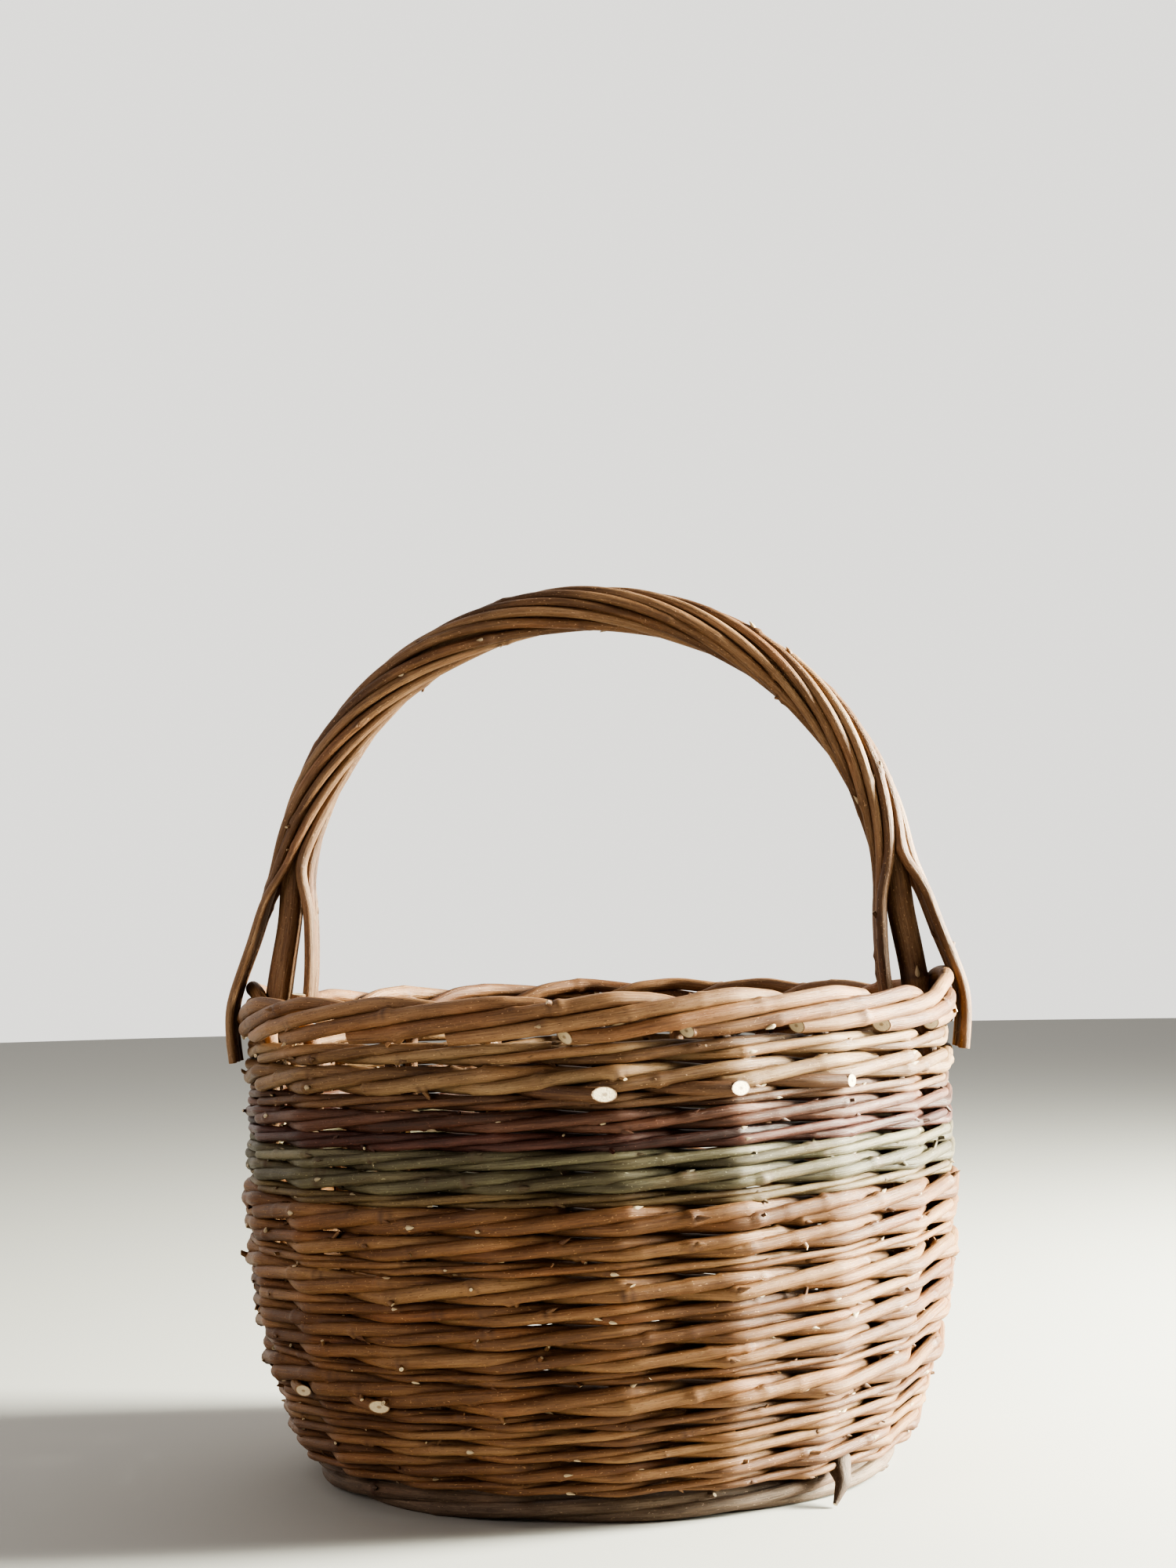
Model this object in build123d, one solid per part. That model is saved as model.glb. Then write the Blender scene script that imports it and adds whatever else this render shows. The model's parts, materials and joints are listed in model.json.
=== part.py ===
from build123d import *
import math
import os

# Round willow basket with a fixed bow handle, in millimetres. +Z is up, the ground is z = 0,
# the basket's axis is the Z axis and the handle stands in the XZ plane.
# Azimuths are degrees counter-clockwise from +X, seen from above.

# Wall stakes
STAKES = 20
STAKE_D = 6.6
STAKE_TURN = 2.3            # azimuth of the first stake, which stands beside a handle leg
BELLY_R = 161.0             # circle of the stakes where the wall is widest
BELLY_Z = 120.0
FOOT_DROP = 23.5            # how much smaller that circle is at the bottom of the wall
FOOT_CURVE = 1.9
RIM_DROP = 1.7              # how much it draws in again below the border
WALL_BOTTOM_Z = 12.0
WALL_TOP_Z = 200.0
STAKE_BEND_Z = (28.0, 46.0, 72.0, 108.0, 155.0, WALL_TOP_Z)
STAKE_BUTT_R = 106.0        # how far under the base the stakes reach
STAKE_BUTT_RISE = 0.6

# Three-rod waling, from the bottom row to the top: the thickness of each row's rods
ROW_D = [
    3.0, 4.2, 3.5, 3.5, 3.3, 5.9, 2.8, 4.7, 4.7, 4.2, 5.4,
    3.0, 5.1, 5.6, 2.8, 4.5, 3.9, 3.7, 4.5, 3.1, 5.9, 4.5,
]
FIRST_ROW_Z = 16.5
ROW_GAP = 0.1
STRAND_GAP = 0.25           # between the two strands of a row that cross a stake together
WEAVE_CLEAR = 0.7           # between a rod and the stake that it passes
LEG_SPREAD = (-4.9, 1.2)    # azimuths either side of a stake that a handle leg widens
ROD_STROKES = (21, 21, 18)  # stakes passed by the three rods of a row, so that the row closes
CLIMB = 0.4                 # part of a gap in which a rod climbs over the next one
ROD_START = 0.28            # part of a gap past its first stake where a rod begins
ROD_START_IN = 0.55         # how far in it is there, as a part of the way to the inside
ROD_END = 0.14

# Border: a stake turns over at the rim and runs down outside, past three others.
# Each place is (gaps run, distance beyond the circle of stakes, height).
TURN_OVER = [(0.12, 0.0, 211.0), (0.55, 1.5, 220.1), (1.0, 7.0, 221.9)]
TURN_ROUND_LEG = [(0.0, 0.8, 222.0), (0.03, 3.0, 227.0), (0.2, 8.2, 229.5), (0.55, 7.6, 226.6)]
RUN_DOWN = [(1.5, 8.5, 218.6), (2.0, 9.2, 215.1), (2.6, 9.2, 211.2), (3.05, 7.6, 208.1), (3.4, 4.6, 207.7)]

# Base: three sticks crossed by two, woven round their spread ends and then round the stakes
BASE_Z = 14.0
STICK_D = 7.0
STICK_R = 106.0
STICK_SPREAD_R = 34.0
STICK_ENDS = 10
STICK_SIDE_GAP = 0.4        # between sticks that lie side by side through the cross
STICK_FAN = 36.0            # azimuth between neighbouring ends once they are spread
UNDER_DROP = 1.6            # how far the three lower sticks dip through the cross,
OVER_RISE = 5.6             # and how far the two that cross them rise
CROSS_HALF = 17.0
BASE_TURN = STAKE_TURN + 180.0 / STAKES - 18.0
WEAVER_D = 4.4
STICK_COURSES_R = (40.0, 104.0)
STICK_COURSES = 14
STAKE_COURSES_R = (109.8, 124.4)
STAKE_COURSES = 4
RING_OPEN = 0.6             # azimuth left open where a course meets its own beginning

# Foot: three strands twisted into a ring under the edge of the base
FOOT_R = 133.0
FOOT_STRANDS = 3
FOOT_STRAND_D = 4.5
FOOT_TWISTS = 9
FOOT_STEPS = 8              # bends in each twist
FOOT_TWIST_R = 2.9          # from the middle of the twist to the middle of a strand
FOOT_OPEN = 0.08            # part of a bend left open where a strand meets its own beginning

# Handle bow: a half circle on two legs that spread a little on their way down into the wall.
# A leg's places are (distance from the axis, height).
BOW_D = 12.6
BOW_R = 147.0
BOW_CENTRE_Z = 262.0
BOW_POINTS = 24
BOW_LEG = [(156.6, 92.0), (157.0, 160.0), (156.0, 205.0), (152.0, 234.0)]
BLADE_MIDDLE_Z = 140.0
BLADE_TOP_Z = 206.0         # below here its legs are shaved to the thickness of a stake
SHAVED_SIDE_TOP_Z = 232.0
SHAVED_SIDE = 2.4           # from its middle to the side shaved for the neighbouring stake
CUTTER = 20.0               # thickness of the blocks that the shaving takes away
CUTTER_H = 150.0

# Rods twisted round the bow, whose ends pass down outside and inside the border
WRAP_RODS = 10
WRAP_D = 4.6
WRAP_TURNS = 1.5
WRAP_POINTS = 26
WRAP_GAP = 0.25
WRAP_START = 0.05           # share of the half circle left bare at each end
TAIL_PITCH = 5.0
OUTER_TAIL = [
    (158.4, 271.0), (164.8, 251.0), (171.4, 234.0),
    (176.2, 220.0), (176.0, 206.0), (174.4, 193.0),
]
INNER_TAIL = [
    (137.2, 266.0), (137.0, 248.0), (137.4, 230.0),
    (140.0, 211.0), (145.0, 190.0), (146.6, 168.0),
]

BASE_BEND = 5.0             # largest bend radius of the rods woven through the base,
WEAVE_BEND = 18.0           # of the rods woven round the wall,
STAKE_BEND = 40.0           # of the stakes
WIDE_BEND = 150.0           # and of the handle
GAP_ANGLE = 360.0 / STAKES


def around(radius, azimuth, height):
    """A point given by its distance from the axis, its azimuth and its height."""
    turn = math.radians(azimuth)
    return Vector(radius * math.cos(turn), radius * math.sin(turn), height)


def stake_circle(height):
    """Radius of the circle that the stakes stand on at a height."""
    if height < BELLY_Z:
        share = (BELLY_Z - height) / (BELLY_Z - WALL_BOTTOM_Z)
        return BELLY_R - FOOT_DROP * share ** FOOT_CURVE
    share = (height - BELLY_Z) / (WALL_TOP_Z - BELLY_Z)
    return BELLY_R - RIM_DROP * share ** 2


def stake_azimuth(number):
    return STAKE_TURN + number * GAP_ANGLE


def beside_leg(number):
    """Whether a stake stands beside one of the two handle legs."""
    return number % (STAKES // 2) == 0


def bend_radii(points, largest):
    """The easiest bend that fits at each corner, up to the largest."""
    radii = []
    for before, corner, after in zip(points, points[1:], points[2:]):
        arriving, leaving = corner - before, after - corner
        half_turn = math.radians(max(arriving.get_angle(leaving), 0.5)) / 2
        run = 0.45 * min(arriving.length, leaving.length)
        radii.append(min(largest, run / math.tan(half_turn)))
    return radii


def bent_rod(points, diameter, largest_bend=STAKE_BEND):
    """A round rod along straight runs joined by bends."""
    path = FilletPolyline(*points, radius=bend_radii(points, largest_bend))
    section = Plane(origin=path @ 0, z_dir=path % 0) * Circle(diameter / 2)
    return sweep(section, path=path)


def save(name, rods):
    """Write one node that holds these rods, each a solid of its own."""
    solids = [solid for rod in rods for solid in rod.solids()]
    node = solids[0] if len(solids) == 1 else Compound(children=solids)
    node.label = name
    export_step(node, f"parts/{name}.step")


def stake(number):
    """One stake: its butt in the base, up the wall, then over and down as border."""
    azimuth = stake_azimuth(number)
    points = [
        around(STAKE_BUTT_R, azimuth, BASE_Z + STAKE_BUTT_RISE),
        around(stake_circle(WALL_BOTTOM_Z) - 1, azimuth, BASE_Z),
    ]
    points += [around(stake_circle(height), azimuth, height) for height in STAKE_BEND_Z]
    rim = stake_circle(WALL_TOP_Z)
    turn = TURN_ROUND_LEG if beside_leg(number) else TURN_OVER
    for gaps, beyond, height in turn + RUN_DOWN:
        points.append(around(rim + beyond, azimuth - gaps * GAP_ANGLE, height))
    return bent_rod(points, STAKE_D)


def row_heights():
    """Middle height of every row, stacked up from the first."""
    heights = [FIRST_ROW_Z]
    for lower, upper in zip(ROW_D, ROW_D[1:]):
        heights.append(heights[-1] + lower + upper + STRAND_GAP + ROW_GAP)
    return heights


def climb(radius, number, height, lift):
    """Where a rod stays low past one stake, and where it is high enough for the next."""
    between = radius * math.cos(math.radians(GAP_ANGLE / 2))
    low = around(between, stake_azimuth(number + 0.5 - CLIMB / 2), height - lift)
    high = around(between, stake_azimuth(number + 0.5 + CLIMB / 2), height + lift)
    return [low, high]


def wale_rod(first, strokes, diameter, height):
    """One waling rod: in front of two stakes and behind the third, each stroke rising."""
    lift = (diameter + STRAND_GAP) / 2
    middle = stake_circle(height)
    lean = stake_circle(height + 1) - middle
    aside = (STAKE_D + diameter) / 2 * math.hypot(1, lean) + WEAVE_CLEAR
    between = middle * math.cos(math.radians(GAP_ANGLE / 2))
    inside_z = max(height, BASE_Z + STAKE_D - STAKE_BUTT_RISE)
    started = around(middle - ROD_START_IN * aside, stake_azimuth(first + ROD_START), inside_z - lift / 2)
    points = [started, around(between, stake_azimuth(first + 0.5), height - lift)]
    for stroke in range(1, strokes + 1):
        number = first + stroke
        radius, level = [
            (middle - aside, inside_z),
            (middle + aside, height - lift),
            (middle + aside, height + lift),
        ][stroke % 3]
        for shift in LEG_SPREAD if beside_leg(number) else (0.0,):
            points.append(around(radius, stake_azimuth(number) + shift, level))
        if stroke % 3 == 1 and stroke < strokes:
            points += climb(middle + aside, number, height, lift)
        if stroke % 3 == 2:
            points.append(around(between, stake_azimuth(number + 0.5), height + lift))
        elif stroke % 3 == 0 and stroke < strokes:
            points.append(around(between, stake_azimuth(number + 0.5), height - lift))
    points.append(around(middle - aside, stake_azimuth(first + strokes + ROD_END), inside_z))
    return bent_rod(points, diameter, WEAVE_BEND)


def wale_row(row, diameter, height):
    """The three rods of one row, each one stake on from the last, joined at the back."""
    first = 2 + (row * 5) % 6
    return [
        wale_rod(first + rod, strokes, diameter, height)
        for rod, strokes in enumerate(ROD_STROKES)
    ]


def base_stick(number):
    """One stick of the base, straight through the cross and spread at both ends."""
    first_bundle = number < 3
    place = number - 1 if first_bundle else number - 3.5
    heading = BASE_TURN + (90.0 if first_bundle else 0.0)
    level = BASE_Z - UNDER_DROP if first_bundle else BASE_Z + OVER_RISE
    aside = around(place * (STICK_D + STICK_SIDE_GAP), heading - 90, level)
    near_end, far_end = heading - place * STICK_FAN, heading + 180 + place * STICK_FAN
    points = [
        around(STICK_R, near_end, BASE_Z),
        around(STICK_SPREAD_R, near_end, BASE_Z),
        aside + around(CROSS_HALF, heading, 0),
        aside - around(CROSS_HALF, heading, 0),
        around(STICK_SPREAD_R, far_end, BASE_Z),
        around(STICK_R, far_end, BASE_Z),
    ]
    return bent_rod(points, STICK_D)


def woven_ring(radius, spokes, spoke_d, first_azimuth, first_side):
    """One course of weaving in the base, over one spoke and under the next."""
    rise = (spoke_d + WEAVER_D) / 2 + WEAVE_CLEAR
    half = 180.0 / spokes
    points = []
    for spoke in range(spokes):
        azimuth = first_azimuth + 2 * half * spoke
        side = first_side if spoke % 2 else -first_side
        points.append(around(radius, azimuth - half, BASE_Z))
        points.append(around(radius, azimuth, BASE_Z + side * rise))
    points.append(around(radius, first_azimuth + 360 - half - RING_OPEN, BASE_Z))
    return bent_rod(points, WEAVER_D, BASE_BEND)


def evenly(low, high, count):
    return [low + (high - low) * step / (count - 1) for step in range(count)]


def base_weave():
    """Courses round the ten stick ends, then courses round the twenty stakes."""
    rings = []
    for course, radius in enumerate(evenly(*STICK_COURSES_R, STICK_COURSES)):
        side = 1 if course % 2 else -1
        rings.append(woven_ring(radius, STICK_ENDS, STICK_D, BASE_TURN + 18, side))
    for course, radius in enumerate(evenly(*STAKE_COURSES_R, STAKE_COURSES)):
        side = 1 if course % 2 else -1
        rings.append(woven_ring(radius, STAKES, STAKE_D, STAKE_TURN, side))
    return rings


def foot_strand(number):
    """One strand of the twisted foot ring, which rests on the ground at every twist."""
    steps = FOOT_TWISTS * FOOT_STEPS
    points = []
    for step in [*range(steps), steps - FOOT_OPEN]:
        turn = 2 * math.pi * (step / FOOT_STEPS + number / FOOT_STRANDS)
        radius = FOOT_R + FOOT_TWIST_R * math.cos(turn)
        points.append(around(radius, 360.0 * step / steps, FOOT_TWIST_R * math.sin(turn)))
    strand = bent_rod(points, FOOT_STRAND_D)
    return Pos(0, 0, -strand.bounding_box().min.Z) * strand


def bow_point(share):
    """Middle of the bow's half circle, from its right end (0) over the top to its left (1)."""
    turn = math.pi * share
    return Vector(BOW_R * math.cos(turn), 0, BOW_CENTRE_Z + BOW_R * math.sin(turn))


def handle_bow():
    """The thick rod of the handle, its two ends shaved to blades that stand in the wall."""
    leg = [Vector(radius, 0, height) for radius, height in BOW_LEG]
    bow = [bow_point(step / BOW_POINTS) for step in range(BOW_POINTS + 1)]
    points = leg + bow + [Vector(-p.X, 0, p.Z) for p in reversed(leg)]
    shape = bent_rod(points, BOW_D, WIDE_BEND)
    middle = stake_circle(BLADE_MIDDLE_Z)
    out = (STAKE_D + CUTTER) / 2
    for side in (1, -1):
        for face in (middle - out, middle + out):
            place = Pos(side * face, 0, BLADE_TOP_Z - CUTTER_H / 2)
            shape -= place * Box(CUTTER, 2 * CUTTER, CUTTER_H)
        aside = side * (SHAVED_SIDE + CUTTER / 2)
        place = Pos(side * middle, aside, SHAVED_SIDE_TOP_Z - CUTTER_H / 2)
        shape -= place * Box(2 * CUTTER, CUTTER, CUTTER_H)
    return shape


def wrap_tail(turn, side):
    """Tail of a wrapping rod below the bow: outside the border or inside it."""
    place = round(math.degrees(math.atan2(math.sin(turn), math.cos(turn))) / (360 / WRAP_RODS))
    if abs(place) <= WRAP_RODS // 4:
        run = OUTER_TAIL
    else:
        run = INNER_TAIL
        place = math.copysign(WRAP_RODS / 2 - abs(place), place)
    return [Vector(side * radius, place * TAIL_PITCH, height) for radius, height in run]


def wrap_rod(number):
    """One rod twisted round the bow, with a tail at each rim."""
    reach = (BOW_D + WRAP_D) / 2 + WRAP_GAP
    first_turn = 2 * math.pi * number / WRAP_RODS
    last_turn = first_turn + 2 * math.pi * WRAP_TURNS
    points = []
    for share in evenly(0.0, 1.0, WRAP_POINTS):
        at = WRAP_START + (1 - 2 * WRAP_START) * share
        ahead = (bow_point(at + 0.001) - bow_point(at - 0.001)).normalized()
        inward = ahead.cross(Vector(0, 1, 0))
        turn = first_turn + (last_turn - first_turn) * share
        aside = Vector(0, reach * math.sin(turn), 0)
        points.append(bow_point(at) - inward * (reach * math.cos(turn)) + aside)
    right_tail, left_tail = wrap_tail(first_turn, 1), wrap_tail(last_turn, -1)
    return bent_rod(right_tail[::-1] + points + left_tail, WRAP_D, WIDE_BEND)


os.makedirs("parts", exist_ok=True)
for number in range(STAKES):
    save(f"stake_{number + 1:02}", [stake(number)])
for row, (diameter, height) in enumerate(zip(ROW_D, row_heights())):
    save(f"wale_row_{row + 1:02}", wale_row(row, diameter, height))
for number in range(STICK_ENDS // 2):
    save(f"base_stick_{number + 1}", [base_stick(number)])
save("base_weave", base_weave())
save("foot_ring", [foot_strand(number) for number in range(FOOT_STRANDS)])
save("handle_bow", [handle_bow()])
for number in range(WRAP_RODS):
    save(f"handle_wrap_{number + 1:02}", [wrap_rod(number)])
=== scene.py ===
import json
import math

import bpy
import numpy as np
from mathutils import Matrix, Vector


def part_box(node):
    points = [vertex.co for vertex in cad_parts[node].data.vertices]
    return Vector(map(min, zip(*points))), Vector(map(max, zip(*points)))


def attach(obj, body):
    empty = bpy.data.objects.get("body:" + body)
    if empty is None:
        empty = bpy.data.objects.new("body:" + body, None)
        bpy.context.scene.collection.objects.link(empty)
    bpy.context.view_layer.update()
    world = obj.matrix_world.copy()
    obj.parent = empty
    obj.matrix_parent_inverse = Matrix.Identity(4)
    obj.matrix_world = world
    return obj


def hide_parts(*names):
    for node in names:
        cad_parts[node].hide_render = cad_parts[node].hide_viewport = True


# A round willow basket with a fixed bow handle. Metres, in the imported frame: +Z up, the
# ground at z = 0, the handle in the XZ plane. Azimuths are degrees from +X, seen from above.

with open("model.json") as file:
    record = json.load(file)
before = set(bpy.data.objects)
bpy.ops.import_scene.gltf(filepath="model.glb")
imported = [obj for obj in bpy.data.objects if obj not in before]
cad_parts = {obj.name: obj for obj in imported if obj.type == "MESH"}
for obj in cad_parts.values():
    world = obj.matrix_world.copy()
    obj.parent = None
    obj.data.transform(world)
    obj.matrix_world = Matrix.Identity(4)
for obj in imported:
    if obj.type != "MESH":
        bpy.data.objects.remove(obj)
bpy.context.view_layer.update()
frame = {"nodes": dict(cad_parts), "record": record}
rng = np.random.default_rng(20)

MM = 0.001

# Weave, as in the frame: stakes and strokes of the waling
STAKES = 20
GAP = 360.0 / STAKES
STAKE_D = 6.6 * MM
STAKE_TURN = 2.3
STRAND_GAP = 0.25 * MM
WEAVE_CLEAR = 0.6 * MM
ROW_STEP_CLEAR = 0.35 * MM
LEG_SPREAD = (-4.9, 1.2)     # azimuths either side of a stake that a handle leg widens
ROD_STROKES = (21, 21, 18)   # stakes passed by the three rods of a row
ROD_START = 0.28             # part of a gap past its first stake where a rod begins
ROD_START_IN = 0.55          # how far in it is there, as a part of the way to the inside
ROD_END = 0.14
ROD_LOOSE = 0.22 * MM        # how far a stroke strays from its place
WALL_TOP_Z = 200 * MM
DENSE_BELOW_Z = 185 * MM     # below it the rods are beaten down tighter, so they fill more
DENSE = 1.09
BASE_Z = 14 * MM
STAKE_BUTT_R = 106 * MM
STAKE_BUTT_RISE = 0.6 * MM
STAKE_BEND_Z = np.array((28, 46, 72, 108, 155, 200)) * MM

# Border, as a stake runs: gaps past its own azimuth, mm outside the rim's stake circle, mm up
TURN_OVER = [(0.12, 0.0, 211.0), (0.55, 1.5, 220.1), (1.0, 7.0, 221.9)]
TURN_ROUND_LEG = [(0.0, 0.8, 222.0), (0.03, 3.0, 227.0), (0.2, 8.2, 229.5), (0.55, 7.6, 226.6)]
RUN_DOWN = [
    (1.5, 8.5, 218.6), (2.0, 9.2, 215.1), (2.6, 9.2, 211.2), (3.05, 7.6, 208.1), (3.4, 5.6, 207.4),
]

# Base: sticks crossed three by two, and the rods woven round them and round the stakes
STICK_D = 7 * MM
STICK_R = 106 * MM
STICK_SPREAD_R = 34 * MM
STICK_ENDS = 10
CROSS_HALF = 17 * MM
STICK_SIDE_GAP = 0.4 * MM
STICK_FAN = 36               # degrees between neighbouring sticks once their ends are spread
UNDER_DROP = 1.6 * MM        # the three sticks that lie under the two, and those two
OVER_RISE = 5.6 * MM
BASE_TURN = STAKE_TURN + GAP / 2 - 18.0
WEAVER_D = 4.4 * MM
WEAVER_CLEAR = 0.2 * MM
WEAVER_OPEN = 0.6            # degrees between a course's two ends
STICK_COURSES = np.linspace(40, 104, 14) * MM
STAKE_COURSES = np.linspace(109.8, 124.4, 4) * MM

# Foot ring
FOOT_R = 133 * MM
FOOT_STRANDS = 3
FOOT_ROD_D = 6.9 * MM
FOOT_ROD_SIZES = (1.0, 0.86, 0.92)
FOOT_STEPS = 96
FOOT_LAPS = 3
FOOT_LAP_START = 1.2
FOOT_JOINS = (35.0, 100.0, 160.0)    # azimuths at which its rods meet their own ends
FOOT_TWIST_R = 2.9 * MM

# Handle: the bow, and the rods wrapped round it with their tails, as (radius, height)
BOW_D = 12.6 * MM
BOW_R = 147 * MM
BOW_CENTRE_Z = 262 * MM
BOW_SHAVED = 0.13            # part of its length that is shaved at each end
BOW_SHAVED_OFF = 0.42        # and how much of the thickness comes off there
BOW_LEG = np.array([(156.6, 92.0), (157.0, 160.0), (156.0, 205.0), (152.0, 234.0)]) * MM
WRAP_RODS = 10
WRAP_D = 4.6 * MM
WRAP_CLEAR = 0.1 * MM
WRAP_STEPS = 60
WRAP_SWAY = 0.07             # radians that a rod strays from an even twist
WRAP_TURNS = 1.5
WRAP_START = 0.05
TAIL_PITCH = 5 * MM
OUTER_TAIL = np.array([
    (158.4, 271), (164.8, 251), (171.4, 234), (176.2, 220), (176.0, 206), (174.4, 193),
]) * MM
INNER_TAIL = np.array([
    (137.2, 266), (137.0, 248), (137.4, 230), (140.0, 211), (145.0, 190), (146.6, 168),
]) * MM


# ---------------------------------------------------------------- centre lines

def around(radius, azimuth, height):
    turn = math.radians(azimuth)
    return np.array((radius * math.cos(turn), radius * math.sin(turn), height))


def stake_azimuth(number):
    return STAKE_TURN + number * GAP


def beside_leg(number):
    return number % (STAKES // 2) == 0


def settle(points):
    """The whole basket's slight unevenness, the same for every rod, so contacts stay."""
    p = np.array(points, float)
    azimuth = np.arctan2(p[:, 1], p[:, 0])
    height = p[:, 2]
    fade = np.clip((height - 0.02) / 0.05, 0, 1) * np.clip((0.30 - height) / 0.07, 0, 1)
    swell = 0.0035 * np.sin(2 * azimuth + 0.6 + 6 * height) + 0.0025 * np.sin(3 * azimuth + 2.1)
    p[:, :2] *= (1 + fade * swell)[:, None]
    wave = 0.9 * np.sin(2 * azimuth + 1.2 + 14 * height)
    wave += 0.6 * np.sin(5 * azimuth + 0.5 + 30 * height)
    p[:, 2] += fade * wave * MM
    return p


def even(points, step):
    """The same line with points at an even spacing."""
    p = np.array(points, float)
    run = np.r_[0, np.cumsum(np.linalg.norm(np.diff(p, axis=0), axis=1))]
    at = np.linspace(0, run[-1], max(int(run[-1] / step) + 1, 4))
    return np.stack([np.interp(at, run, p[:, k]) for k in range(3)], 1)


def smooth(points, reach=4.5 * MM, step=2.2 * MM):
    """A springy line through the points: corners rounded over about reach, ends kept."""
    fine = even(points, 1 * MM)
    half = max(int(3 * reach / MM), 1)
    half = min(half, len(fine) - 1)
    weights = np.exp(-0.5 * (np.arange(-half, half + 1) * MM / reach) ** 2)
    weights /= weights.sum()
    before = 2 * fine[0] - fine[half:0:-1]
    after = 2 * fine[-1] - fine[-2:-half - 2:-1]
    padded = np.concatenate([before, fine, after])
    rounded = np.stack([np.convolve(padded[:, k], weights, "valid") for k in range(3)], 1)
    return even(rounded, step)


def drift(count, wavelength, step):
    """Smooth random values about 0 with spread 1 along a rod."""
    knots = rng.normal(size=max(int(count * step / wavelength) + 3, 4))
    at = np.linspace(0, len(knots) - 1.001, count)
    low = at.astype(int)
    share = at - low
    share = share * share * (3 - 2 * share)
    return knots[low] * (1 - share) + knots[low + 1] * share


# ---------------------------------------------------------------- rods as meshes

class Bundle:
    """Rods collected into one piece, with what the bark shader needs at each vertex:
    bark (length along the rod, then across it) and marks (tint, cut wood, dark scar)."""

    def __init__(self):
        self.verts, self.faces, self.bark, self.marks = [], [], [], []
        self.count = 0

    def add(self, verts, faces, bark, marks):
        self.verts.append(verts)
        self.faces.append(faces + self.count)
        self.bark.append(bark)
        self.marks.append(marks)
        self.count += len(verts)

    def build(self, name, material, slot, *nodes):
        verts = np.concatenate(self.verts)
        verts[:, 2] = np.maximum(verts[:, 2], 0.0)
        faces = np.concatenate(self.faces)
        mesh = bpy.data.meshes.new(name)
        mesh.vertices.add(len(verts))
        mesh.vertices.foreach_set("co", verts.ravel())
        mesh.loops.add(faces.size)
        mesh.loops.foreach_set("vertex_index", faces.ravel().astype(np.int32))
        mesh.polygons.add(len(faces))
        mesh.polygons.foreach_set("loop_start", np.arange(0, faces.size, 4, dtype=np.int32))
        mesh.polygons.foreach_set("loop_total", np.full(len(faces), 4, np.int32))
        mesh.polygons.foreach_set("use_smooth", np.ones(len(faces), bool))
        for label, values in (("bark", self.bark), ("marks", self.marks)):
            layer = mesh.attributes.new(label, "FLOAT_VECTOR", "POINT")
            layer.data.foreach_set("vector", np.concatenate(values).ravel())
        mesh.update()
        mesh.validate()
        mesh.materials.append(material)
        piece = bpy.data.objects.new(name, mesh)
        bpy.context.scene.collection.objects.link(piece)
        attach(piece, "root")
        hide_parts(*nodes)


def directions(line):
    """Tangents, and two directions across that turn as little as they can."""
    ahead = np.gradient(line, axis=0)
    ahead /= np.linalg.norm(ahead, axis=1)[:, None]
    side = np.zeros_like(line)
    first = np.cross(ahead[0], (0.0, 0.0, 1.0))
    if np.linalg.norm(first) < 0.2:
        first = np.cross(ahead[0], (1.0, 0.0, 0.0))
    side[0] = first / np.linalg.norm(first)
    for i in range(1, len(line)):
        across = side[i - 1] - ahead[i] * np.dot(side[i - 1], ahead[i])
        side[i] = across / np.linalg.norm(across)
    return ahead, side, np.cross(ahead, side)


def grid_faces(rings, sides):
    """Quads between rings of vertices, each ring closed on itself."""
    ring = np.arange(rings - 1)[:, None] * sides
    here = np.arange(sides)[None, :]
    there = (here + 1) % sides
    quads = np.stack([ring + here, ring + there, ring + sides + there, ring + sides + here], -1)
    return quads.reshape(-1, 4)


# Rings that close a rod's end: size of each, and how much cut wood shows on it
CAP_SIZES = np.array((1.0, 0.90, 0.84, 0.30, 0.16, 0.02))
CAP_WOOD = np.array((0.0, 0.35, 1.0, 1.0, 0.45, 0.35))
CAP_DOME = 0.12 * MM
CUT_REACH = 8                # rings that a slanting cut may run back over


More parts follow.
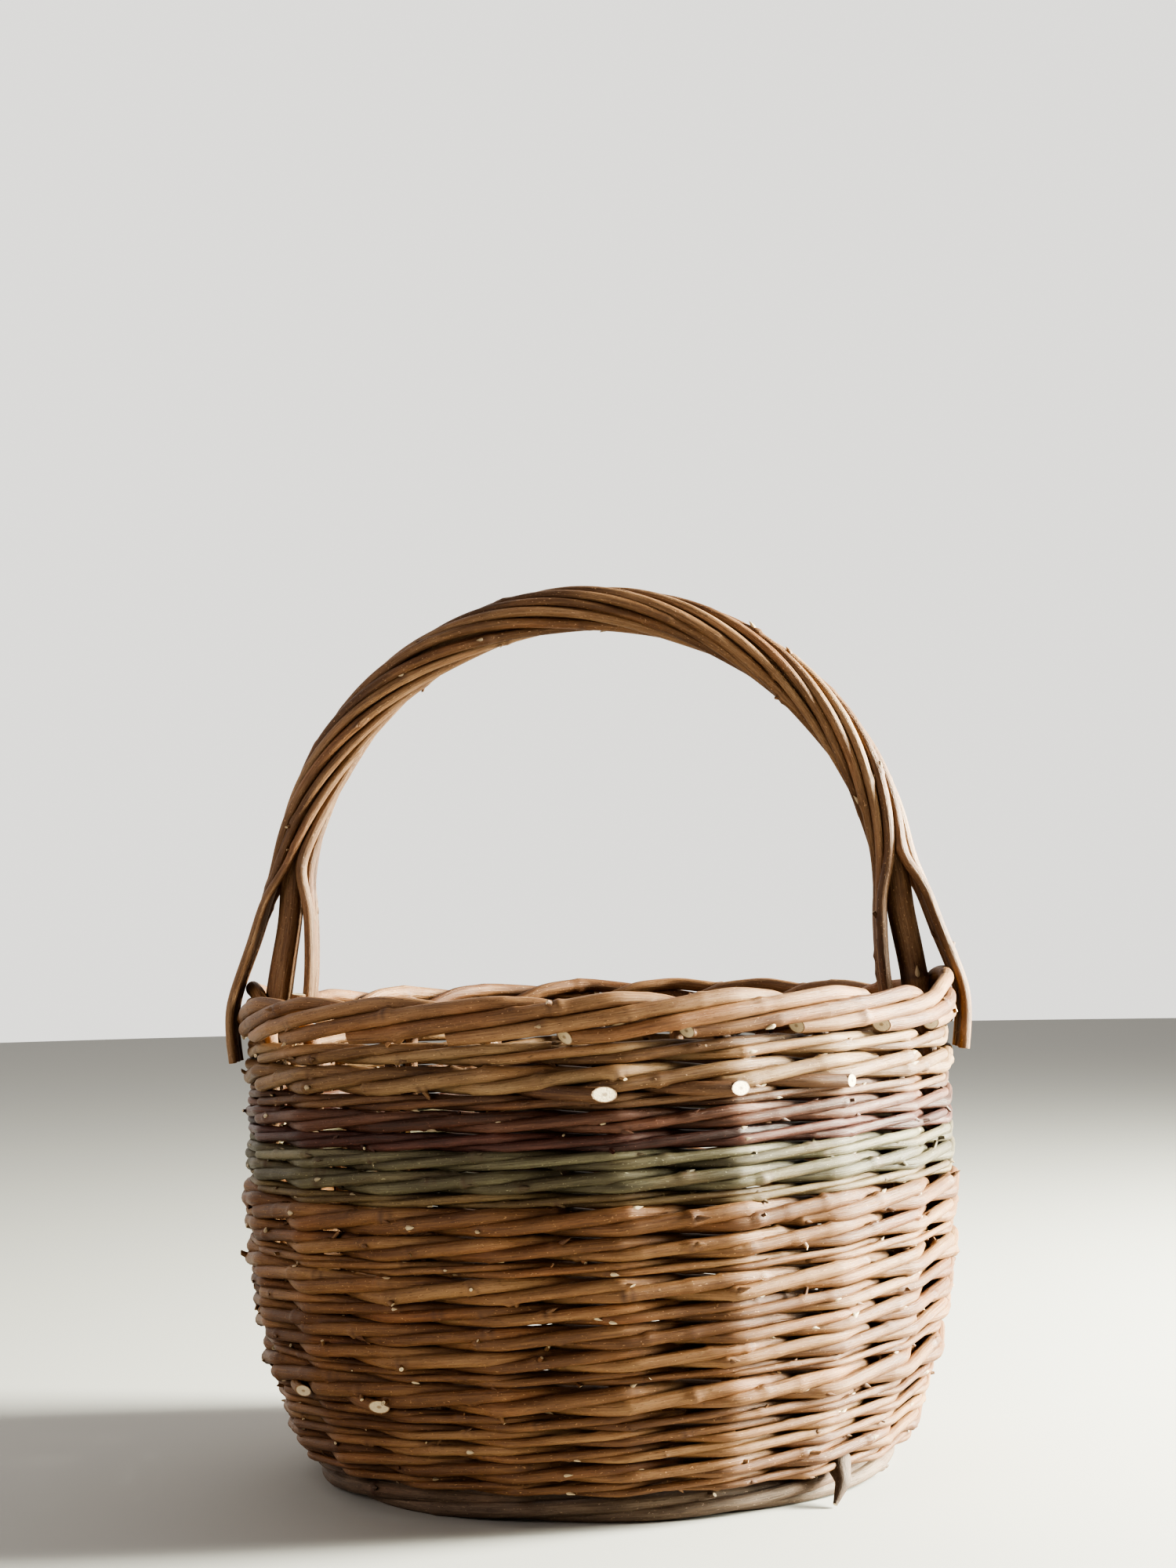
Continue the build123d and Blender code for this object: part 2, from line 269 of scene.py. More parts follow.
def tube(bundle, line, radii, sides, tint, end_cut=None, relief=None, scars=None, wood=0.0, dark=0.0):
    """One closed rod. end_cut is the direction that the face of its far end turns to."""
    ahead, side, up = directions(line)
    angle = np.linspace(0, 2 * math.pi, sides, endpoint=False)
    across = side[:, None] * np.cos(angle)[:, None] + up[:, None] * np.sin(angle)[:, None]
    radius = radii[:, None] * np.ones(sides)
    if relief is not None:
        radius = radius * (1 + relief(angle))
    rings = line[:, None] + across * radius[..., None]
    run = np.r_[0, np.cumsum(np.linalg.norm(np.diff(line, axis=0), axis=1))]
    offset = rng.uniform(0, 50)
    bark = np.stack([
        np.broadcast_to((run + offset)[:, None], radius.shape),
        np.cos(angle) * radii[:, None],
        np.sin(angle) * radii[:, None],
    ], -1)
    marks = np.zeros(rings.shape)
    marks[..., 0] = tint
    marks[..., 1] = wood
    marks[..., 2] = dark if scars is None else scars(angle)

    def cap(at, outward, cut):
        """Rings that close an end: an edge of bark, then pale wood in to the pith."""
        if cut is not None:
            cut = np.array(cut, float) / np.linalg.norm(cut)
            lean = max(np.dot(outward, cut), 0.3)
            for back in range(1, min(CUT_REACH, len(rings) - 1)):
                near = rings[-1 - back]
                near -= outward * (np.clip((near - line[at]) @ cut, 0, None) / lean)[:, None]
            rings[at] -= outward * (((rings[at] - line[at]) @ cut) / lean)[:, None]
        edge = rings[at].copy()
        middle = edge.mean(0)
        sizes = CAP_SIZES[:, None, None]
        caps = middle + (edge - middle) * sizes + outward * CAP_DOME * (1 - sizes)
        cap_marks = np.zeros((len(CAP_SIZES), sides, 3))
        cap_marks[..., 0] = tint
        cap_marks[..., 1] = CAP_WOOD[:, None]
        cap_bark = np.zeros((len(CAP_SIZES), sides, 3))
        cap_bark[..., 0] = bark[at, :, 0]
        cap_bark[..., 1:] = bark[at, :, 1:] * sizes
        return caps, cap_marks, cap_bark

    start = cap(0, -ahead[0], None)
    end = cap(-1, ahead[-1], end_cut)
    quads = grid_faces(len(line), sides)
    bundle.add(rings.reshape(-1, 3), quads, bark.reshape(-1, 3), marks.reshape(-1, 3))
    for (points, cap_marks, cap_bark), flip in ((start, True), (end, False)):
        faces = grid_faces(len(points), sides)
        if flip:
            faces = faces[:, ::-1]
        bundle.add(points.reshape(-1, 3), faces, cap_bark.reshape(-1, 3), cap_marks.reshape(-1, 3))
    return ahead, side, up


def bud(bundle, root, ahead, outward, size, tint):
    """A bud lying along the rod, or a short snag that the side shoot's cut has left."""
    kind = rng.random()
    if kind < 0.30:
        lean = rng.uniform(0.6, 1.2)
        heading = ahead * math.cos(lean) + outward * math.sin(lean)
        reach = heading * size * rng.uniform(1.3, 2.3)
        line = root - outward * size * 0.5 + reach * np.linspace(0, 1, 5)[:, None]
        cut = heading + 0.8 * rng.normal(size=3)
        if np.dot(cut / np.linalg.norm(cut), heading) < 0.4:
            cut = heading
        tube(bundle, line, size * np.linspace(0.55, 0.42, 5), 8, tint, end_cut=cut, dark=0.1)
    else:
        lean = rng.uniform(0.18, 0.5)
        heading = ahead * math.cos(lean) + outward * math.sin(lean)
        reach = heading * size * rng.uniform(1.6, 2.9)
        line = root - outward * size * 0.3 + reach * np.linspace(0, 1, 6)[:, None]
        radii = size * np.array([0.50, 0.60, 0.52, 0.38, 0.22, 0.04])
        pale = rng.uniform(0.35, 0.9) if kind < 0.6 else 0.0
        tube(bundle, line, radii, 7, tint, wood=pale, dark=rng.uniform(0.1, 0.55) * (1 - pale))


def knot_relief(run, places, facings, heights):
    """Swellings where leaves grew: a shoulder under each bud and a raised ring beside it."""
    def relief(angle):
        shape = 0.03 * np.cos(2 * angle[None, :] + run[:, None] * 20)
        for place, facing, tall in zip(places, facings, heights):
            off = run - place
            shoulder = np.exp(-((off + 0.6 * MM) / (2.6 * MM)) ** 2)[:, None]
            ring = np.exp(-((off + 2.2 * MM) / (1.1 * MM)) ** 2)[:, None]
            facing_it = np.clip(np.cos(angle - facing), 0, 1)[None, :]
            swelling = shoulder * (0.25 + 0.9 * facing_it ** 2) + 0.6 * ring * (0.4 + facing_it)
            shape = shape + tall * swelling
        return shape
    return relief


def knot_scars(run, places, facings, depths):
    """Dark leaf scars round each bud, which fade out round the far side of the rod."""
    def scars(angle):
        shade = np.zeros((len(run), len(angle)))
        for place, facing, deep in zip(places, facings, depths):
            off = run - place
            below = np.exp(-((off + 0.6 * MM) / (0.9 * MM)) ** 2)
            above = np.exp(-((off - 2.6 * MM) / (0.9 * MM)) ** 2)
            facing_it = np.clip(0.25 + np.cos(angle - facing), 0, 1)[None, :]
            shade = shade + deep * (below + 0.7 * above)[:, None] * facing_it
        return np.clip(shade, 0, 1)
    return scars


BUD_CHANCE = 0.8


def rod(bundle, points, diameter, taper=0.12, sides=14, reach=4.5 * MM, knots=0.045, roughness=0.03,
        end_cut=None, step=2.2 * MM, tint=None, lift=0.0, profile=None):
    """A whole willow rod: uneven thickness, knots with buds, and sawn or sliced ends."""
    line = smooth(settle(points), reach, step)
    count = len(line)
    share = np.linspace(0, 1, count)
    radii = diameter / 2 * (1 + taper * (0.5 - share)) * (1 + roughness * drift(count, 0.035, step))
    if profile is not None:
        radii = radii * profile(share)
    if lift:
        line = line + np.stack([drift(count, 0.045, step) for _ in range(3)], 1) * lift
    tint = rng.uniform() if tint is None else tint
    length = count * step
    run = share * length
    at = np.cumsum(rng.uniform(0.45, 1.55, int(length / knots) + 2) * knots)
    at = at[at < length - 4 * MM]
    turn = rng.uniform(0, 6.3) + 2.4 * np.arange(len(at)) + rng.normal(0, 0.3, len(at))
    relief = knot_relief(run, at, turn, rng.uniform(0.08, 0.30, len(at)))
    scars = knot_scars(run, at, turn, rng.uniform(0.2, 0.95, len(at)))
    ahead, side, up = tube(bundle, line, radii, sides, tint, end_cut, relief, scars)
    for place, facing in zip(at, turn):
        if rng.random() < BUD_CHANCE:
            i = min(int(place / length * count), count - 1)
            outward = side[i] * math.cos(facing) + up[i] * math.sin(facing)
            size = np.clip(radii[i] * 0.72, 1.4 * MM, 2.2 * MM) * rng.uniform(0.7, 1.25)
            bud(bundle, line[i] + outward * radii[i] * 1.05, ahead[i], outward, size, tint)


# ---------------------------------------------------------------- waling

def wall_rows():
    """Every row of waling from its CAD boxes: name, thickness, middle height, stake circle."""
    names = sorted(n for n in frame["nodes"] if n.startswith("wale_row"))
    boxes = [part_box(n) for n in names]
    outer = [max(high.x, -low.x) for low, high in boxes]
    lean = np.gradient(outer, [low.z for low, high in boxes])
    rows = []
    for i, (name, (low, high)) in enumerate(zip(names, boxes)):
        if i + 1 < len(names):
            thick = (boxes[i + 1][0].z - low.z - ROW_STEP_CLEAR) / 2
        else:
            thick = (high.z - low.z - STRAND_GAP) / 2
        aside = (STAKE_D + thick) / 2 * math.hypot(1, lean[i]) + WEAVE_CLEAR
        middle = outer[i] - thick / 2 - aside
        rows.append((name, thick, low.z + thick + STRAND_GAP / 2, middle, aside))
    return rows


ROWS = wall_rows()


def stake_circle(height):
    """Radius of the circle of stakes at a height of the wall."""
    return float(np.interp(height, [r[2] for r in ROWS], [r[3] for r in ROWS]))


def wale_points(first, strokes, thick, height, middle, aside):
    """In front of two stakes and behind the third, each stroke rising as it goes."""
    lift = (thick + STRAND_GAP) / 2
    between = middle * math.cos(math.radians(GAP / 2))
    inside_z = max(height, BASE_Z + STAKE_D - 0.6 * MM)
    points = [around(middle - ROD_START_IN * aside, stake_azimuth(first + ROD_START), inside_z - lift / 2)]
    points.append(around(between, stake_azimuth(first + 0.5), height - lift))
    for stroke in range(1, strokes + 1):
        number = first + stroke
        radius, level = [
            (middle - aside, inside_z),
            (middle + aside, height - lift),
            (middle + aside, height + lift),
        ][stroke % 3]
        loose = rng.normal(0, ROD_LOOSE, 2)
        for shift in LEG_SPREAD if beside_leg(number) else (0.0,):
            points.append(around(radius + loose[0], stake_azimuth(number) + shift, level + loose[1]))
        if stroke % 3 == 2:
            points.append(around(between, stake_azimuth(number + 0.5), height + lift))
        elif stroke % 3 == 0 and stroke < strokes:
            points.append(around(between, stake_azimuth(number + 0.5), height - lift))
    points.append(around(middle - aside, stake_azimuth(first + strokes + ROD_END), inside_z))
    return points


def wale_row(number, name, thick, height, middle, aside, material, slot):
    bundle = Bundle()
    first = 2 + (number * 5) % 6
    for index, strokes in enumerate(ROD_STROKES):
        own = thick * rng.uniform(0.94, 1.10) * (DENSE if height < DENSE_BELOW_Z else 1.0)
        points = wale_points(first + index, strokes, thick, height, middle, aside)
        rod(bundle, points, own, taper=0.16, sides=14, knots=0.030, lift=0.16 * MM, step=1.8 * MM)
    for azimuth, width in BUTTS.get(number, ()):
        butt_end(bundle, azimuth, width, height + thick + 0.8 * MM, middle + aside)
    bundle.build(name + "_rods", material, slot, name)


# Rows, counted from the bottom, over which thick rods were let in: where they come out
# beside a stake, and how thick they are
BUTTS = {
    19: ((-91.7, 6.8), (-71.9, 6.4), (-52.6, 6.0)),
    4: ((-129.5, 5.6), (-148.7, 5.4)),
}


def butt_end(bundle, azimuth, width, height, radius):
    """The thick end of a rod let in beside the others, sliced off where it comes out."""
    points = [
        around(radius - 11 * MM, azimuth - 15.0, height + 1.6 * MM),
        around(radius - 5.5 * MM, azimuth - 9.0, height + 1.0 * MM),
        around(radius + 1.2 * MM, azimuth - 3.5, height + 0.2 * MM),
        around(radius + 4.0 * MM, azimuth + 0.2, height - 0.2 * MM),
        around(radius + 5.0 * MM, azimuth + 2.4, height - 0.4 * MM),
    ]
    ahead = points[-1] - points[-2]
    cut = around(1, azimuth, 0.0) + 0.55 * ahead / np.linalg.norm(ahead)
    rod(bundle, points, width * MM, taper=0, knots=1.0, end_cut=cut, reach=3 * MM, tint=0.45)


# ---------------------------------------------------------------- stakes and border

def stake(number, material, slot):
    bundle = Bundle()
    azimuth = stake_azimuth(number)
    bottom = ROWS[0][3]
    points = [
        around(STAKE_BUTT_R, azimuth, BASE_Z + STAKE_BUTT_RISE),
        around(bottom - 2 * MM, azimuth, BASE_Z),
    ]
    for height in STAKE_BEND_Z:
        points.append(around(stake_circle(height), azimuth, height))
    rim = stake_circle(WALL_TOP_Z)
    turn = TURN_ROUND_LEG if beside_leg(number) else TURN_OVER
    for gaps, beyond, height in turn + RUN_DOWN:
        jitter = rng.normal(0, 0.25, 2)
        radius = rim + (beyond + jitter[0]) * MM
        points.append(around(radius, azimuth - gaps * GAP, (height + jitter[1]) * MM))
    thick = STAKE_D * rng.uniform(0.95, 1.12)
    name = f"stake_{number + 1:02}"
    ahead = points[-1] - points[-2]
    slant = rng.uniform(0.9, 2.2)
    cut = around(1, azimuth - RUN_DOWN[-1][0] * GAP, -0.5) + slant * ahead / np.linalg.norm(ahead)
    rod(bundle, points, thick, taper=0.10, sides=18, reach=5 * MM, knots=0.042, step=2 * MM,
        end_cut=cut)
    if number == STAKES // 2:
        stub(bundle)
    bundle.build(name + "_rod", material, slot, name)


def stub(bundle):
    """The sawn top of a short stake that stands inside the border beside the left leg."""
    points = [np.array((-146.0 + 2 * k, -14.5, 206.0 + 10 * k)) * MM for k in range(3)]
    rod(bundle, points, 7.0 * MM, taper=0.0, sides=18, knots=1.0, end_cut=(0.1, -0.1, 1), tint=0.7)


# ---------------------------------------------------------------- base and foot

def base_stick(number, material, slot):
    first_bundle = number < 3
    place = number - 1 if first_bundle else number - 3.5
    heading = BASE_TURN + (90.0 if first_bundle else 0.0)
    level = BASE_Z - UNDER_DROP if first_bundle else BASE_Z + OVER_RISE
    aside = around(place * (STICK_D + STICK_SIDE_GAP), heading - 90, level)
    near_end, far_end = heading - place * STICK_FAN, heading + 180 + place * STICK_FAN
    points = [
        around(STICK_R, near_end, BASE_Z),
        around(STICK_SPREAD_R, near_end, BASE_Z),
        aside + around(CROSS_HALF, heading, 0),
        aside - around(CROSS_HALF, heading, 0),
        around(STICK_SPREAD_R, far_end, BASE_Z),
        around(STICK_R, far_end, BASE_Z),
    ]
    bundle = Bundle()
    rod(bundle, points, STICK_D, taper=0.1, sides=16)
    name = f"base_stick_{number + 1}"
    bundle.build(name + "_rod", material, slot, name)


def woven_ring(bundle, radius, spokes, spoke_d, first_azimuth, side):
    rise = (spoke_d + WEAVER_D) / 2 + WEAVER_CLEAR
    points = []
    for spoke in range(spokes):
        azimuth = first_azimuth + 360.0 / spokes * spoke
        over = side if spoke % 2 else -side
        points.append(around(radius, azimuth - 180.0 / spokes, BASE_Z))
        points.append(around(radius, azimuth, BASE_Z + over * rise))
    points.append(around(radius, first_azimuth + 360 - 180.0 / spokes - WEAVER_OPEN, BASE_Z))
    thick = WEAVER_D * rng.uniform(0.95, 1.12)
    rod(bundle, points, thick, taper=0.05, sides=10, step=3 * MM, lift=0.15 * MM)


def base_weave(material, slot):
    bundle = Bundle()
    for course, radius in enumerate(STICK_COURSES):
        woven_ring(bundle, radius, STICK_ENDS, STICK_D, BASE_TURN + 18, 1 if course % 2 else -1)
    for course, radius in enumerate(STAKE_COURSES):
        woven_ring(bundle, radius, STAKES, STAKE_D, STAKE_TURN, 1 if course % 2 else -1)
    bundle.build("base_weave_rods", material, slot, "base_weave")


PEG_R = (6.0, 1.0)           # mm, at the peg's head and point
PEG = [
    around(140 * MM, -43.5, 17 * MM),
    around(148 * MM, -46.0, 10 * MM),
    around(150 * MM, -49.0, 1.5 * MM),
]


def foot_ring(material, slot):
    """Three thick rods laid over each other in a ring, and the point of a peg beside it."""
    bundle = Bundle()
    for strand in range(FOOT_STRANDS):
        thick = FOOT_ROD_D * FOOT_ROD_SIZES[strand]
        points = []
        for step in [*range(FOOT_STEPS), FOOT_STEPS - 0.5]:
            azimuth = FOOT_JOINS[strand] + 360.0 * step / FOOT_STEPS
            laps = FOOT_LAPS * azimuth / 360.0 + strand / FOOT_STRANDS
            turn = 2 * math.pi * laps + FOOT_LAP_START
            height = thick / 2 + FOOT_TWIST_R * (1 + math.sin(turn))
            radius = FOOT_R - 1.5 * MM + 1.2 * FOOT_TWIST_R * math.cos(turn)
            points.append(around(radius, azimuth, height))
        rod(bundle, points, thick, taper=0.1, sides=18, reach=5 * MM, roughness=0.02, knots=0.07)
    line = smooth(PEG, 2 * MM, 1 * MM)
    tube(bundle, line, np.linspace(*PEG_R, len(line)) * MM, 12, 0.2, dark=0.2)
    bundle.build("foot_ring_rods", material, slot, "foot_ring")


# ---------------------------------------------------------------- handle

def bow_point(share):
    turn = math.pi * share
    return np.array((BOW_R * math.cos(turn), 0.0, BOW_CENTRE_Z + BOW_R * math.sin(turn)))


def handle_bow(material, slot):
    leg = [np.array((radius, 0.0, height)) for radius, height in BOW_LEG]
    arc = [bow_point(share) for share in np.linspace(0, 1, 40)]
    points = leg + arc + [p * (-1, 1, 1) for p in reversed(leg)]
    bundle = Bundle()

    def shaved(share):
        """Thinner where the ends stand in the wall."""
        inside = np.clip((BOW_SHAVED - np.minimum(share, 1 - share)) / 0.03, 0, 1)
        return 1 - BOW_SHAVED_OFF * inside

    rod(bundle, points, BOW_D, taper=0.04, sides=24, reach=6 * MM, knots=0.09, roughness=0.02,
        profile=shaved)
    bundle.build("handle_bow_rod", material, slot, "handle_bow")


def wrap_tail(turn, side):
    place = round(math.degrees(math.atan2(math.sin(turn), math.cos(turn))) / (360 / WRAP_RODS))
    run = OUTER_TAIL
    if abs(place) > WRAP_RODS // 4:
        run = INNER_TAIL
        place = math.copysign(WRAP_RODS / 2 - abs(place), place)
    return [np.array((side * radius, place * TAIL_PITCH, height)) for radius, height in run]


def wrap_rod(number, material, slot):
    reach = (BOW_D + WRAP_D) / 2 + WRAP_CLEAR
    first_turn = 2 * math.pi * number / WRAP_RODS
    last_turn = first_turn + 2 * math.pi * WRAP_TURNS
    points = []
    sway = drift(WRAP_STEPS, 0.1, 0.008) * WRAP_SWAY
    for step, share in enumerate(np.linspace(0, 1, WRAP_STEPS)):
        at = WRAP_START + (1 - 2 * WRAP_START) * share
        ahead = bow_point(at + 0.001) - bow_point(at - 0.001)
        inward = np.cross(ahead / np.linalg.norm(ahead), (0, 1, 0))
        turn = first_turn + (last_turn - first_turn) * share + sway[step] * math.sin(math.pi * share)
        aside = np.array((0, reach * math.sin(turn), 0))
        points.append(bow_point(at) - inward * reach * math.cos(turn) + aside)
    points = wrap_tail(first_turn, 1)[::-1] + points + wrap_tail(last_turn, -1)
    bundle = Bundle()
    thick = WRAP_D * rng.uniform(0.92, 1.18)
    rod(bundle, points, thick, taper=0.12, sides=14, reach=6 * MM, knots=0.07, roughness=0.02,
        lift=0.12 * MM)
    name = f"handle_wrap_{number + 1:02}"
    bundle.build(name + "_rod", material, slot, name)


# ---------------------------------------------------------------- materials

# Bark colours of each slot (linear): shaded streaks, middle, sunlit side; and its gloss
BARK = {
    "willow_border": ((0.128, 0.054, 0.023), (0.24, 0.122, 0.057), (0.336, 0.194, 0.1), 0.46),
    "willow_buff": ((0.12, 0.049, 0.018), (0.21, 0.1, 0.041), (0.3, 0.168, 0.078), 0.48),
    "willow_olive": ((0.093, 0.052, 0.023), (0.143, 0.094, 0.041), (0.211, 0.152, 0.073), 0.5),
    "willow_green": ((0.076, 0.059, 0.031), (0.13, 0.108, 0.06), (0.209, 0.184, 0.113), 0.48),
    "willow_maroon": ((0.036, 0.011, 0.007), (0.076, 0.024, 0.015), (0.132, 0.052, 0.037), 0.42),
    "willow_red": ((0.053, 0.019, 0.009), (0.102, 0.038, 0.02), (0.167, 0.078, 0.048), 0.44),
    "willow_brown": ((0.075, 0.03, 0.014), (0.145, 0.069, 0.032), (0.209, 0.117, 0.061), 0.48),
    "willow_tan": ((0.114, 0.053, 0.023), (0.204, 0.112, 0.052), (0.3, 0.19, 0.099), 0.48),
    "willow_base": ((0.144, 0.074, 0.034), (0.264, 0.157, 0.079), (0.368, 0.251, 0.137), 0.55),
    "willow_foot": ((0.072, 0.042, 0.025), (0.136, 0.088, 0.057), (0.215, 0.15, 0.103), 0.55),
    "willow_handle": ((0.117, 0.054, 0.025), (0.218, 0.116, 0.058), (0.328, 0.201, 0.113), 0.46),
}
CUT_WOOD = (0.703, 0.5766, 0.387, 1)
SCAR = (0.075, 0.032, 0.018, 1)


class Graph:
    """Short names for building a material's nodes."""

    def __init__(self, material):
        self.tree = material.node_tree
        self.tree.nodes.clear()

    def node(self, kind, **settings):
        made = self.tree.nodes.new(kind)
        for key, value in settings.items():
            setattr(made, key, value)
        return made

    def link(self, source, target):
        self.tree.links.new(source, target)

    def value(self, operation, first, second, clamp=False):
        made = self.node("ShaderNodeMath", operation=operation, use_clamp=clamp)
        for socket, given in zip(made.inputs, (first, second)):
            if isinstance(given, (int, float)):
                socket.default_value = given
            else:
                self.link(given, socket)
        return made.outputs[0]

    def noise(self, vector, stretch, detail, rough):
        """Noise stretched by (along, across, across) cycles per metre."""
        scaled = self.node("ShaderNodeVectorMath", operation="MULTIPLY")
        self.link(vector, scaled.inputs[0])
        scaled.inputs[1].default_value = stretch
        made = self.node("ShaderNodeTexNoise")
        made.inputs["Scale"].default_value = 1.0
        made.inputs["Detail"].default_value = detail
        made.inputs["Roughness"].default_value = rough
        self.link(scaled.outputs[0], made.inputs["Vector"])
        return made.outputs["Fac"]

    def mix(self, share, first, second, blend="MIX"):
        made = self.node("ShaderNodeMix", data_type="RGBA", blend_type=blend)
        colour_in = [s for s in made.inputs if s.type == "RGBA"]
        for socket, given in zip([made.inputs[0], *colour_in], (share, first, second)):
            if isinstance(given, (int, float)):
                socket.default_value = given
            elif isinstance(given, tuple):
                socket.default_value = given if len(given) == 4 else (*given, 1)
            else:
                self.link(given, socket)
        return [s for s in made.outputs if s.type == "RGBA"][0]

    def spread(self, value, low, high, to_low=0.0, to_high=1.0):
        made = self.node("ShaderNodeMapRange")
        self.link(value, made.inputs["Value"])
        ends = {"From Min": low, "From Max": high, "To Min": to_low, "To Max": to_high}
        for key, given in ends.items():
            made.inputs[key].default_value = given
        return made.outputs["Result"]


def bark_material(slot):
    """Willow bark: long streaks, soft blotches, fine wrinkles, scars, and pale cut wood."""
    deep, mid, pale, rough = BARK[slot]
    material = bpy.data.materials.new(slot)
    material.use_nodes = True
    g = Graph(material)
    bark = g.node("ShaderNodeAttribute", attribute_name="bark").outputs["Vector"]
    marks = g.node("ShaderNodeAttribute", attribute_name="marks").outputs["Vector"]
    split = g.node("ShaderNodeSeparateXYZ")
    g.link(marks, split.inputs[0])
    tint, cut, scar = split.outputs
    blotch = g.noise(bark, (28, 130, 130), 3.0, 0.6)
    streak = g.noise(bark, (55, 1500, 1500), 4.0, 0.65)
    fine = g.noise(bark, (320, 2600, 2600), 3.0, 0.6)
    patch = g.noise(bark, (9, 25, 25), 2.0, 0.5)
    tone = g.spread(blotch, 0.3, 0.7, 0.0, 0.62)
    tone = g.value("ADD", tone, g.spread(patch, 0.3, 0.7, -0.22, 0.22))
    tone = g.value("ADD", tone, g.spread(streak, 0.3, 0.7, -0.34, 0.34))
    tone = g.value("ADD", tone, g.spread(tint, 0.0, 1.0, -0.16, 0.46), clamp=True)
    lower = g.mix(g.value("MULTIPLY", tone, 2.0, clamp=True), deep, mid)
    upper = g.value("MULTIPLY", g.value("SUBTRACT", tone, 0.5), 2.0, clamp=True)
    colour = g.mix(upper, lower, pale)
    ruddy = g.spread(g.noise(bark, (14, 60, 60), 2.0, 0.5), 0.52, 0.68, 0.0, 0.5)
    colour = g.mix(ruddy, colour, (1.06, 0.78, 0.66), "MULTIPLY")
    speck = g.spread(fine, 0.58, 0.70, 0.0, 0.75)
    colour = g.mix(speck, colour, tuple(c * 0.6 for c in deep))
    pore = g.spread(g.noise(bark, (700, 1500, 1500), 1.0, 0.5), 0.69, 0.75, 0.0, 0.8)
    colour = g.mix(pore, colour, tuple(min(c * 1.7, 0.8) for c in pale))
    colour = g.mix(g.value("MULTIPLY", scar, 0.85, clamp=True), colour, SCAR)
    rings = g.spread(fine, 0.3, 0.7, 0.82, 1.05)
    colour = g.mix(g.value("MULTIPLY", cut, rings, clamp=True), colour, CUT_WOOD)
    shader = g.node("ShaderNodeBsdfPrincipled")
    g.link(colour, shader.inputs["Base Color"])
    g.link(g.spread(streak, 0.25, 0.75, rough - 0.08, rough + 0.14), shader.inputs["Roughness"])
    shader.inputs["Specular IOR Level"].default_value = 0.45
    height = g.value("ADD", streak, g.value("MULTIPLY", fine, 0.35))
    height = g.value("ADD", height, g.value("MULTIPLY", blotch, 0.9))
    height = g.value("ADD", height, g.value("MULTIPLY", pore, 0.25))
    bump = g.node("ShaderNodeBump")
    bump.inputs["Strength"].default_value = 0.75
    bump.inputs["Distance"].default_value = 0.0007
    g.link(height, bump.inputs["Height"])
    g.link(bump.outputs["Normal"], shader.inputs["Normal"])
    output = g.node("ShaderNodeOutputMaterial")
    g.link(shader.outputs[0], output.inputs["Surface"])
    return material


# ---------------------------------------------------------------- build the pieces

slot_of = {s["node"]: s["material_slot"] for s in frame["record"]["subparts"]}
bark = {slot: bark_material(slot) for slot in sorted(set(slot_of.values()))}


def look(node):
    """The material and the slot of a CAD node."""
    return bark[slot_of[node]], slot_of[node]


for number, row in enumerate(ROWS):
    wale_row(number, *row, *look(row[0]))
for number in range(STAKES):
    stake(number, *look(f"stake_{number + 1:02}"))
for number in range(STICK_ENDS // 2):
    base_stick(number, *look(f"base_stick_{number + 1}"))
base_weave(*look("base_weave"))
foot_ring(*look("foot_ring"))
handle_bow(*look("handle_bow"))
for number in range(WRAP_RODS):
    wrap_rod(number, *look(f"handle_wrap_{number + 1:02}"))


# ---------------------------------------------------------------- floor, light, camera

FLOOR_R = 6.0
# World strength along +Y: dim in front of the basket, bright behind it
DIM_TO_BRIGHT = {"From Min": -0.35, "From Max": 0.75, "To Min": 0.10, "To Max": 1.15}
LIT_AT = (0, 0, 0.18)        # where both lights point
CAMERA_PLACE = (-0.002, -1.216, 0.247)
CAMERA_TILT = 3.58           # degrees up from level
CAMERA_ROLL = -1.2
SENSOR_HEIGHT = 24
LENS = 38.4


def plain_floor():
    mesh = bpy.data.meshes.new("floor")
    ring = [around(FLOOR_R, azimuth, 0.0) for azimuth in range(0, 360, 6)]
    mesh.from_pydata([tuple(p) for p in ring], [], [tuple(range(len(ring)))])
    floor = bpy.data.objects.new("floor", mesh)
    bpy.context.scene.collection.objects.link(floor)
    material = bpy.data.materials.new("floor")
    material.use_nodes = True
    shader = material.node_tree.nodes["Principled BSDF"]
    shader.inputs["Base Color"].default_value = (0.50, 0.485, 0.455, 1)
    shader.inputs["Roughness"].default_value = 0.9
    mesh.materials.append(material)


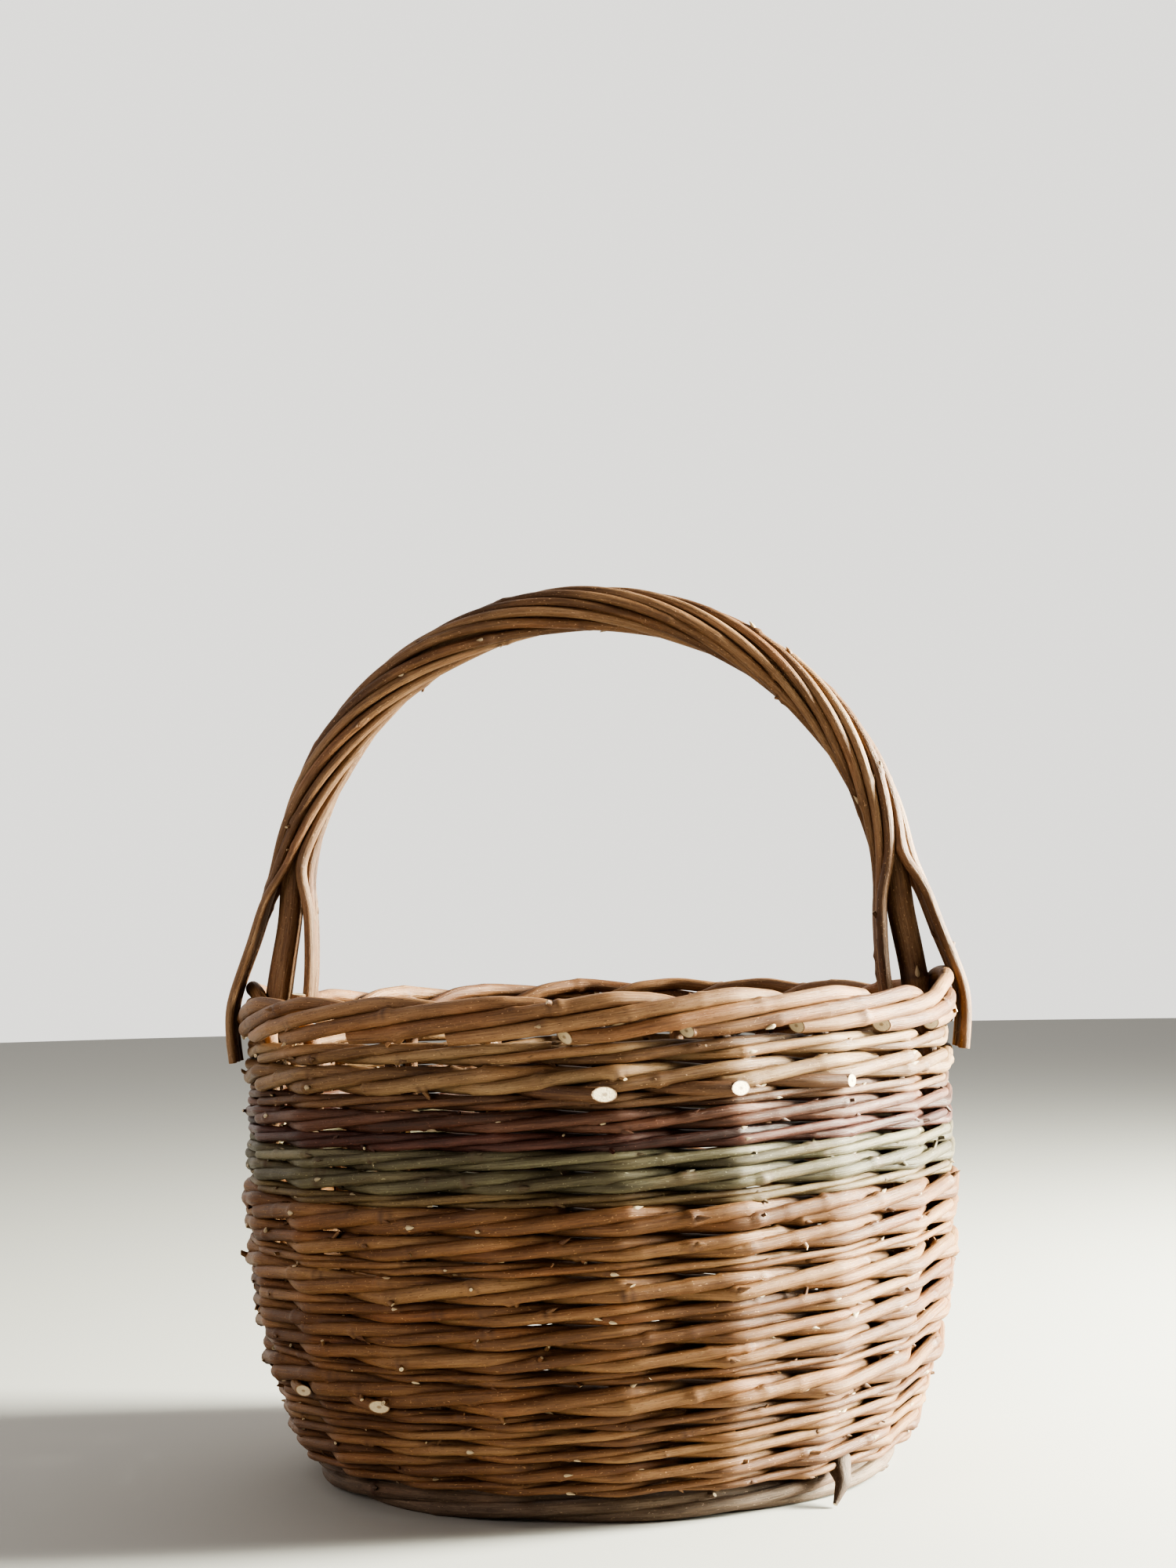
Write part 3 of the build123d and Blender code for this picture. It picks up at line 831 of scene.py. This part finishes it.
def area_light(name, place, size, power, colour):
    light = bpy.data.lights.new(name, "AREA")
    light.shape = "RECTANGLE"
    light.size, light.size_y = size
    light.energy = power
    light.color = colour
    lamp = bpy.data.objects.new(name, light)
    lamp.location = place
    lamp.rotation_euler = (Vector(LIT_AT) - Vector(place)).to_track_quat("-Z", "Y").to_euler()
    lamp.visible_camera = False
    bpy.context.scene.collection.objects.link(lamp)


def surroundings():
    """A room that is bright behind the basket and dim in front of it, and a window at its right."""
    world = bpy.data.worlds.new("studio")
    world.use_nodes = True
    tree = world.node_tree
    sky = tree.nodes["Background"]
    sky.inputs["Color"].default_value = (0.90, 0.885, 0.845, 1)
    where = tree.nodes.new("ShaderNodeTexCoord")
    split = tree.nodes.new("ShaderNodeSeparateXYZ")
    tree.links.new(where.outputs["Generated"], split.inputs[0])
    ramp = tree.nodes.new("ShaderNodeMapRange")
    ramp.interpolation_type = "SMOOTHSTEP"
    tree.links.new(split.outputs["Y"], ramp.inputs["Value"])
    for key, given in DIM_TO_BRIGHT.items():
        ramp.inputs[key].default_value = given
    tree.links.new(ramp.outputs["Result"], sky.inputs["Strength"])
    bpy.context.scene.world = world
    bpy.context.scene.view_settings.look = "AgX - High Contrast"
    area_light("window", (1.75, 0.10, 0.66), (0.5, 1.0), 285, (0.96, 0.99, 0.87))
    area_light("room", (-1.8, -1.6, 1.0), (1.2, 1.2), 22, (0.98, 0.91, 0.86))


def camera():
    """Level with a little above the rim, about 1.2 m in front of the basket."""
    data = bpy.data.cameras.new("camera")
    data.sensor_fit = "VERTICAL"
    data.sensor_height = SENSOR_HEIGHT
    data.lens = LENS
    viewer = bpy.data.objects.new("camera", data)
    tilt = Matrix.Rotation(math.radians(90 + CAMERA_TILT), 4, "X")
    roll = Matrix.Rotation(math.radians(CAMERA_ROLL), 4, "Z")
    viewer.matrix_world = Matrix.Translation(CAMERA_PLACE) @ tilt @ roll
    bpy.context.scene.collection.objects.link(viewer)
    bpy.context.scene.camera = viewer


plain_floor()
surroundings()
camera()
